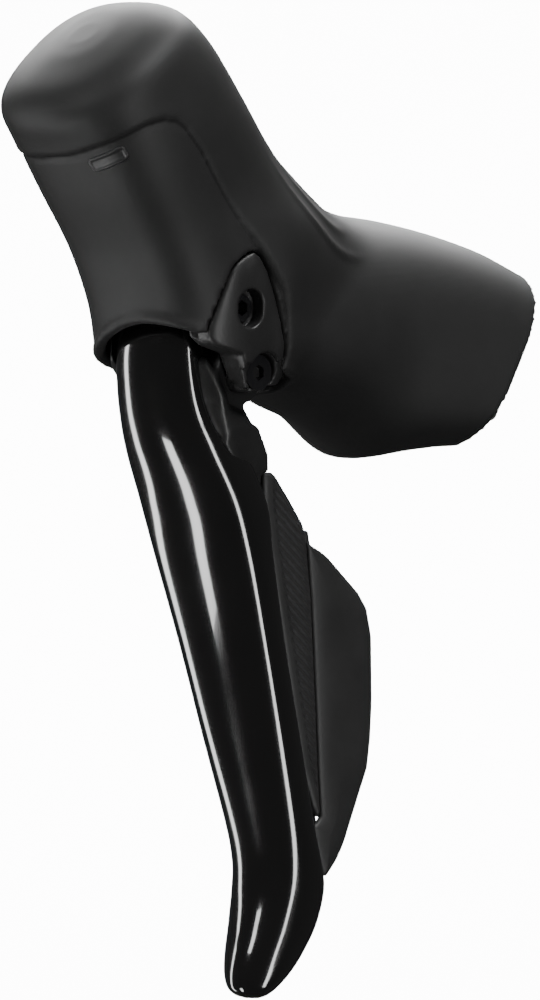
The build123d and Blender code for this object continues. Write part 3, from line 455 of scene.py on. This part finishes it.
def skin_of(name, rings):
    """A closed mesh through rings of points, with flat ends."""
    count, around = rings.shape[:2]
    faces = []
    for i in range(count - 1):
        for j in range(around):
            k = (j + 1) % around
            faces.append((i * around + j, (i + 1) * around + j, (i + 1) * around + k, i * around + k))
    faces.append(tuple(range(around)))
    faces.append(tuple(reversed(range((count - 1) * around, count * around))))
    return mesh_object(name, rings.reshape(-1, 3) * MM, faces)


def make_blade():
    """The gloss blade."""
    rows = smooth_rows(BLADE_ROWS, 14)
    rows = rows[np.argsort(-rows[:, 0], kind="stable")]
    piece = skin_of("blade", np.array([blade_ring(*row) for row in rows]))
    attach(piece, "lever")
    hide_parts("lever_blade")
    return piece


blade = make_blade()


# ---------------------------------------------------------------- switches and arm, from their CAD shapes
def cad_field(grid, node):
    """The field of a CAD node's own shape."""
    source = frame["nodes"][node]
    points = np.array([source.matrix_world @ v.co for v in source.data.vertices]) / MM
    source.data.calc_loop_triangles()
    triangles = np.array([t.vertices[:] for t in source.data.loop_triangles], np.uint32)
    made = vdb.FloatGrid.createLevelSetFromPolygons(
        ((points - grid.low) / grid.step).astype(np.float32), triangles=triangles,
        exBandWidth=3 / grid.step, inBandWidth=3 / grid.step)
    field = np.zeros(grid.shape, np.float32)
    made.copyToArray(field, ijk=(0, 0, 0))
    return field * grid.step


def soften(field, radius, step):
    """A field whose edges are rounded."""
    reach = int(math.ceil(radius / step))
    weights = np.exp(-0.5 * (np.arange(-reach, reach + 1) * step / (radius * 0.6)) ** 2)
    weights /= weights.sum()
    for axis in range(3):
        padded = np.pad(field, [(reach, reach) if a == axis else (0, 0) for a in range(3)], mode="edge")
        size = field.shape[axis]
        field = sum(np.take(padded, np.arange(k, k + size), axis) * w for k, w in enumerate(weights))
    return field.astype(np.float32)


def node_grid(node, step, margin=1.5):
    """A grid round a CAD node."""
    low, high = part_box(node)
    return Grid(np.array(low) / MM - margin, np.array(high) / MM + margin, step)


# The switches' plane leans by 5 degrees about the line through (x, z).
SWITCH_LEAN = math.radians(5)
SWITCH_X, SWITCH_Z = 10.2, -17.0
FRONT_PAD = [
    (-55.4, -16.9), (-53.3, -16.9), (-52.4, -17.6), (-49.2, -22.1), (-46.4, -26.4), (-45.8, -28.2),
    (-45.7, -29.6), (-45.4, -40.0), (-45.8, -58.0), (-46.2, -70.0), (-46.3, -78.6), (-46.9, -79.4),
    (-48.0, -77.6), (-50.2, -70.0), (-51.6, -59.0), (-53.9, -40.0), (-55.1, -30.0), (-55.7, -23.0)]
REAR_PAD = [
    (-45.2, -29.8), (-40.2, -34.4), (-33.9, -40.4), (-32.2, -43.0), (-31.5, -47.8), (-32.3, -59.2),
    (-33.3, -66.0), (-34.5, -71.0), (-38.6, -78.6), (-43.2, -87.2), (-44.4, -89.0), (-45.6, -90.2),
    (-46.3, -89.4), (-47.9, -83.2), (-47.9, -81.0), (-46.7, -80.2), (-45.9, -79.4), (-45.8, -70.0),
    (-45.4, -58.0), (-45.0, -40.0)]


def switch_height(grid):
    """Height above the switches' outer face."""
    return (grid.x - SWITCH_X) * math.cos(SWITCH_LEAN) + (grid.z - SWITCH_Z) * math.sin(SWITCH_LEAN)


def pad_field(grid, node, outline, swell):
    """A paddle: its CAD shape, with soft edges and a swelling outer face."""
    inside = -polygon_field(grid.y, grid.z, outline) + 1.2 * smooth_step(grid.y, -46, -40)
    height = switch_height(grid)
    cap = np.maximum(height - swell(inside), -height - 1.0)
    cap = smooth_max(cap, -inside, 0.7)
    return smooth_min(soften(cad_field(grid, node), 0.35, grid.step), cap, 0.25)


def make_front_pad():
    """The ribbed paddle, with a smooth strip along its front edge."""
    grid = node_grid("front_paddle", 0.22)
    strip = 2.0 + (grid.z + 20) * 0.006
    to_front = np.interp(grid.z, (-79, -77.6, -70, -59, -40, -30, -23, -17), (
        -47.4, -48, -50.2, -51.6, -53.9, -55.1, -55.7, -55.4))
    beside = grid.y - to_front - strip

    def swell(inside):
        rib_place = (grid.z + (grid.y + 50) * 0.95) / 1.75
        ribs = 0.5 + 0.5 * np.cos(rib_place * 2 * math.pi)
        field = smooth_step(beside, 0.0, 0.5) * smooth_step(inside, 0.3, 0.8)
        return 0.45 * (1 - np.exp(-np.maximum(inside, 0) / 0.8)) - field * (0.35 - 0.34 * ribs)

    piece = grid.mesh("front_pad", pad_field(grid, "front_paddle", FRONT_PAD, swell))
    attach(piece, "front_switch")
    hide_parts("front_paddle")
    return piece


def make_rear_pad():
    """The smooth fin."""
    grid = node_grid("rear_paddle", 0.25)

    def swell(inside):
        return -0.2 + 0.9 * (1 - np.exp(-np.maximum(inside, 0) / 2.2))

    piece = grid.mesh("rear_pad", pad_field(grid, "rear_paddle", REAR_PAD, swell))
    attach(piece, "rear_switch")
    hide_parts("rear_paddle")
    return piece


ARM_SIDE = [
    (-71.0, 5.4), (-67.3, 4.3), (-65.5, 0.0), (-63.4, -4.2), (-59.6, -5.6), (-57.2, -8.8), (-55.4, -13.0),
    (-55.0, -15.0), (-55.0, -16.4), (-55.7, -17.2), (-56.0, -22.5), (-62.0, -22.5), (-68.4, -6.0)]


def make_arm():
    """The cast arm, with softened edges, and one smooth flank from the blade back to the hub."""
    grid = node_grid("lever_arm", 0.3)
    cast = soften(cad_field(grid, "lever_arm"), 0.5, grid.step)
    out = np.interp(grid.z, (-22, -12, -4, 5, 11), (12.6, 10.2, 7.6, 6.6, 6.0)).astype(np.float32)
    gain = np.interp(grid.z, (-21, -12, -8.4, -6, -3, 6), (-1.0, 1.4, 2.7, 3.0, 3.9, 4.4)).astype(np.float32)
    out = out + gain * smooth_step(grid.y, -71, -65.5)
    flank = smooth_max(polygon_field(grid.y, grid.z, ARM_SIDE), np.maximum(grid.x - out, 2 - grid.x), 3.2)
    piece = grid.mesh("arm", smooth_min(cast, flank, 0.8))
    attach(piece, "lever")
    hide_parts("lever_arm")
    return piece


def make_bracket():
    """The moulded bracket, with softened edges, kept inside the cover's outer form."""
    grid = node_grid("bracket_body", 0.4)
    inside = sample(form, hood_grid, grid) + 0.8
    piece = grid.mesh("bracket_moulding", smooth_max(cad_field(grid, "bracket_body"), inside, 0.3))
    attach(piece, "bracket")
    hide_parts("bracket_body")
    return piece


def make_spring():
    """The piston's spring, a copy of its CAD coil carried by the bracket."""
    source = frame["nodes"]["piston_spring"]
    points = [source.matrix_world @ v.co for v in source.data.vertices]
    piece = mesh_object("spring_coil", points, [p.vertices for p in source.data.polygons])
    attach(piece, "bracket")
    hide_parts("piston_spring")
    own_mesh(piece)
    return piece


front_pad = make_front_pad()
rear_pad = make_rear_pad()
arm = make_arm()
bracket = make_bracket()
spring = make_spring()


# ---------------------------------------------------------------- materials
class Nodes:
    """A small helper that builds one material's nodes."""

    def __init__(self, name):
        self.material = bpy.data.materials.new(name)
        self.material.use_nodes = True
        self.tree = self.material.node_tree
        self.shader = self.tree.nodes["Principled BSDF"]
        self.place = self.add("ShaderNodeTexCoord").outputs["Object"]

    def add(self, kind, inputs=(), **settings):
        node = self.tree.nodes.new(kind)
        for key, value in settings.items():
            setattr(node, key, value)
        for key, value in dict(inputs).items():
            self.put(node.inputs[key], value)
        return node

    def put(self, socket, value):
        if isinstance(value, bpy.types.NodeSocket):
            self.tree.links.new(value, socket)
        else:
            socket.default_value = value

    def noise(self, scale, detail=4, roughness=0.55, stretch_by=None):
        place = self.place
        if stretch_by:
            place = self.add("ShaderNodeMapping", {"Vector": place, "Scale": stretch_by}).outputs[0]
        return self.add("ShaderNodeTexNoise", {
            "Vector": place, "Scale": scale, "Detail": detail, "Roughness": roughness}).outputs["Fac"]

    def span(self, value, low, high, to_low, to_high, smooth=False):
        node = self.add("ShaderNodeMapRange", {
            "Value": value, "From Min": low, "From Max": high, "To Min": to_low, "To Max": to_high})
        if smooth:
            node.interpolation_type = "SMOOTHSTEP"
        return node.outputs[0]

    def math(self, operation, a, b=0.0):
        return self.add("ShaderNodeMath", {0: a, 1: b}, operation=operation).outputs[0]

    def attribute(self, name):
        return self.add("ShaderNodeAttribute", attribute_name=name).outputs["Fac"]

    def mix(self, share, a, b):
        return self.add("ShaderNodeMix", {"Factor": share, 6: a, 7: b}, data_type="RGBA").outputs[2]

    def bump(self, height, strength, distance, normal=None):
        inputs = {"Height": height, "Strength": strength, "Distance": distance}
        if normal:
            inputs["Normal"] = normal
        return self.add("ShaderNodeBump", inputs).outputs[0]

    def finish(self, **sockets):
        for key, value in sockets.items():
            self.put(self.shader.inputs[key.replace("_", " ")], value)
        return self.material


def grey(value):
    """A neutral colour."""
    return (value, value, value, 1)


def surface(name, dark, light, rough_low, rough_high, scale, grain, grain_scale):
    """A material with a soft mottle, a varied roughness and a fine grain."""
    nodes = Nodes(name)
    mottle = nodes.noise(scale)
    fine = nodes.noise(grain_scale, 3, 0.6)
    colour = nodes.mix(nodes.span(mottle, 0.3, 0.7, 0, 1), dark, light)
    wear = nodes.math("ADD", mottle, nodes.math("MULTIPLY", fine, 0.4))
    rough = nodes.span(wear, 0.4, 1.0, rough_low, rough_high)
    normal = nodes.bump(fine, grain, 0.0002)
    return nodes.finish(Base_Color=colour, Roughness=rough, Normal=normal)


def rubber():
    """Dark moulded rubber with a fine grain, and painted shade in a thin line along the groove round the
    front panel.
    """
    nodes = Nodes("hood_rubber")
    mottle = nodes.noise(60)
    fine = nodes.noise(5200, 2, 0.6)
    panel_edge_distance = nodes.math("ABSOLUTE", nodes.attribute("panel_edge_distance"))
    # Painted shade: the colour goes near black in a thin line along the groove at the front panel's edge.
    line = nodes.span(panel_edge_distance, 0.12, 0.42, 1, 0, True)
    colour = nodes.mix(nodes.span(mottle, 0.3, 0.7, 0, 1), grey(0.017), grey(0.021))
    colour = nodes.mix(nodes.math("MULTIPLY", line, 0.8), colour, grey(0.006))
    rough = nodes.span(mottle, 0.3, 0.7, 0.50, 0.57)
    wave = nodes.bump(nodes.attribute("wave"), 0.5, 0.0004)
    normal = nodes.bump(fine, 0.12, 0.0001, wave)
    return nodes.finish(Base_Color=colour, Roughness=rough, Specular_IOR_Level=0.3, Normal=normal)


def gloss():
    """Gloss black paint over metal."""
    nodes = Nodes("blade_gloss")
    mottle = nodes.noise(90)
    peel = nodes.noise(900, 2, 0.4)
    colour = nodes.mix(mottle, grey(0.0035), grey(0.005))
    rough = nodes.span(mottle, 0.3, 0.7, 0.10, 0.14)
    return nodes.finish(
        Base_Color=colour, Roughness=rough, Normal=nodes.bump(peel, 0.02, 0.0001), Coat_Weight=1.0,
        Coat_Roughness=0.03, IOR=1.5)


def metal(name, colour, rough):
    """Worked metal with fine marks along one way."""
    nodes = Nodes(name)
    marks = nodes.noise(400, 4, 0.6, (1.0, 12.0, 1.0))
    base = nodes.mix(marks, colour, tuple(c * 0.85 for c in colour[:3]) + (1,))
    return nodes.finish(
        Base_Color=base, Metallic=1.0, Roughness=nodes.span(marks, 0.2, 0.8, rough * 0.8, rough * 1.3),
        Normal=nodes.bump(marks, 0.05, 0.0001))


MATERIALS = {
    "cover_rubber": rubber(),
    "blade_black": gloss(),
    "bracket_plastic": surface("bracket_matt", grey(0.013), grey(0.017), 0.38, 0.48, 120, 0.10, 4200),
    "arm_black": surface("arm_satin", grey(0.012), grey(0.016), 0.30, 0.40, 150, 0.08, 3800),
    "switch_plastic": surface("switch_matt", grey(0.015), grey(0.020), 0.44, 0.52, 110, 0.15, 4600),
    "seal_rubber": surface("seal_rubber", grey(0.012), grey(0.018), 0.5, 0.6, 200, 0.1, 4000),
    "bush_polymer": surface(
        "bush_polymer", (0.26, 0.22, 0.15, 1), (0.32, 0.28, 0.2, 1), 0.4, 0.5, 200, 0.1, 4000),
    "board_green": surface(
        "board_green", (0.012, 0.10, 0.04, 1), (0.02, 0.14, 0.06, 1), 0.3, 0.4, 300, 0.05, 3000),
    "steel": metal("steel", (0.56, 0.56, 0.57, 1), 0.3),
    "black_steel": metal("black_steel", (0.07, 0.07, 0.075, 1), 0.38),
    "piston_aluminium": metal("piston_aluminium", (0.62, 0.62, 0.64, 1), 0.3),
    "olive_brass": metal("olive_brass", (0.75, 0.55, 0.25, 1), 0.3),
    "cell_steel": metal("cell_steel", (0.7, 0.7, 0.7, 1), 0.22),
    "contact_brass": metal("contact_brass", (0.8, 0.62, 0.3, 1), 0.25),
}


def dress(piece, slot):
    """Give the piece its slot's material."""
    piece.data.materials.clear()
    piece.data.materials.append(MATERIALS[slot])


for piece, slot in (
        (hood, "cover_rubber"), (cheek, "bracket_plastic"), (badge, "bracket_plastic"),
        (blade, "blade_black"),
        (front_pad, "switch_plastic"), (rear_pad, "switch_plastic"), (arm, "arm_black"),
        (bracket, "bracket_plastic"), (spring, "steel")):
    dress(piece, slot)

slots = {part["node"]: part["material_slot"] for part in frame["record"]["subparts"]}
for name, node in frame["nodes"].items():
    dress(node, slots[name])
    bevel = node.modifiers.new("edge", "BEVEL")
    bevel.width, bevel.segments, bevel.limit_method = 0.00015, 2, "ANGLE"
    bevel.angle_limit = math.radians(40)

# ---------------------------------------------------------------- camera, light and floor
CAMERA_AZIMUTH, CAMERA_ELEVATION = math.radians(46), math.radians(4)
CAMERA_DISTANCE = 1.4
VIEW_HEIGHT = 0.1818        # how much of the world the picture shows, at the lever
FLOOR_Z = -0.7
FLOOR_R = 2.2               # where the floor starts to curve up
CURVE_R = 0.8
CENTRE = Vector((0, -0.05, -0.02))


def add_camera():
    """The camera, in front of the lever and towards its outboard side."""
    data = bpy.data.cameras.new("view")
    camera = bpy.data.objects.new("view", data)
    bpy.context.scene.collection.objects.link(camera)
    back = Vector((
        math.sin(CAMERA_AZIMUTH) * math.cos(CAMERA_ELEVATION),
        -math.cos(CAMERA_AZIMUTH) * math.cos(CAMERA_ELEVATION),
        math.sin(CAMERA_ELEVATION)))
    right = Vector((math.cos(CAMERA_AZIMUTH), math.sin(CAMERA_AZIMUTH), 0))
    up = back.cross(right)
    target = Vector((0, -0.045, -0.025))
    camera.location = target + back * CAMERA_DISTANCE
    camera.rotation_mode = "QUATERNION"
    camera.rotation_quaternion = (-back).to_track_quat("-Z", "Y")
    data.sensor_fit = "VERTICAL"
    data.sensor_height = 24
    data.lens = 24 * CAMERA_DISTANCE / VIEW_HEIGHT
    data.shift_x = (-0.0316 - target.dot(right)) / VIEW_HEIGHT
    data.shift_y = (-0.0249 - target.dot(up)) / VIEW_HEIGHT
    data.clip_start, data.clip_end = 0.05, 20
    bpy.context.scene.camera = camera
    return back


def add_light(name, place, size, power, aim):
    """A soft white panel of light."""
    data = bpy.data.lights.new(name, "AREA")
    data.shape = "RECTANGLE"
    data.size, data.size_y = size
    data.energy = power
    light = bpy.data.objects.new(name, data)
    bpy.context.scene.collection.objects.link(light)
    light.location = place
    light.rotation_mode = "QUATERNION"
    light.rotation_quaternion = (Vector(aim) - Vector(place)).to_track_quat("-Z", "Y")
    return light


def add_floor():
    """A pale round floor that curves up into a wall all round."""
    profile = [(r, FLOOR_Z) for r in np.linspace(0.02, FLOOR_R, 12)]
    for a in np.linspace(0.1, math.pi / 2, 14):
        profile.append((FLOOR_R + CURVE_R * math.sin(a), FLOOR_Z + CURVE_R * (1 - math.cos(a))))
    profile += [(FLOOR_R + CURVE_R, FLOOR_Z + CURVE_R + h) for h in np.linspace(0.2, 2.6, 8)]
    around = 96
    turns = [2 * math.pi * k / around for k in range(around)]
    points = [(r * math.cos(a), r * math.sin(a), h) for r, h in profile for a in turns]
    faces = [tuple(range(around))]
    for i in range(len(profile) - 1):
        for k in range(around):
            n = (k + 1) % around
            faces.append((i * around + k, (i + 1) * around + k, (i + 1) * around + n, i * around + n))
    floor = mesh_object("floor", points, faces)
    nodes = Nodes("floor_paper")
    colour = nodes.mix(nodes.noise(3), (0.86, 0.86, 0.86, 1), (0.9, 0.9, 0.9, 1))
    floor.data.materials.append(nodes.finish(Base_Color=colour, Roughness=0.9))
    floor.visible_glossy = floor.visible_diffuse = False


back = add_camera()


def panel(name, azimuth, elevation, distance, size, radiance):
    """A soft panel of light, placed round the lever. Azimuth 0 is in front of it, and 90 outboard."""
    az, el = math.radians(azimuth), math.radians(elevation)
    way = Vector((math.sin(az) * math.cos(el), -math.cos(az) * math.cos(el), math.sin(el)))
    add_light(name, CENTRE + way * distance, size, radiance * math.pi * size[0] * size[1], aim=CENTRE)


add_floor()
panel("outboard_strip", 80, -6, 1.0, (0.10, 0.9), 15)
panel("outboard_high", 100, 62, 1.1, (0.5, 0.5), 14)
panel("centre_low", -6, -34, 0.9, (0.14, 0.5), 15)
panel("centre_high", -4, 36, 0.9, (0.12, 0.3), 14)
panel("inboard", -50, -12, 0.9, (0.10, 1.1), 13)
panel("rear_left", -125, 40, 1.1, (1.0, 0.6), 12)
panel("rear_high", -165, 52, 1.1, (0.6, 0.5), 10)
away = Vector((-back.x, -back.y, 0)).normalized()
beside = Vector((-away.y, away.x, 0))
for name, way, power in (
        ("far", away, 560), ("near", -away, 200), ("left", beside, 200), ("other", -beside, 200)):
    wall = add_light("wall_" + name, way + Vector((0, 0, 1.7)), (2.0, 1.5), power, aim=way * 3.2)
    wall.data.spread = math.radians(110)

world = bpy.data.worlds.new("studio")
world.use_nodes = True
world.node_tree.nodes["Background"].inputs["Color"].default_value = (1, 1, 1, 1)
world.node_tree.nodes["Background"].inputs["Strength"].default_value = 0.07
bpy.context.scene.world = world
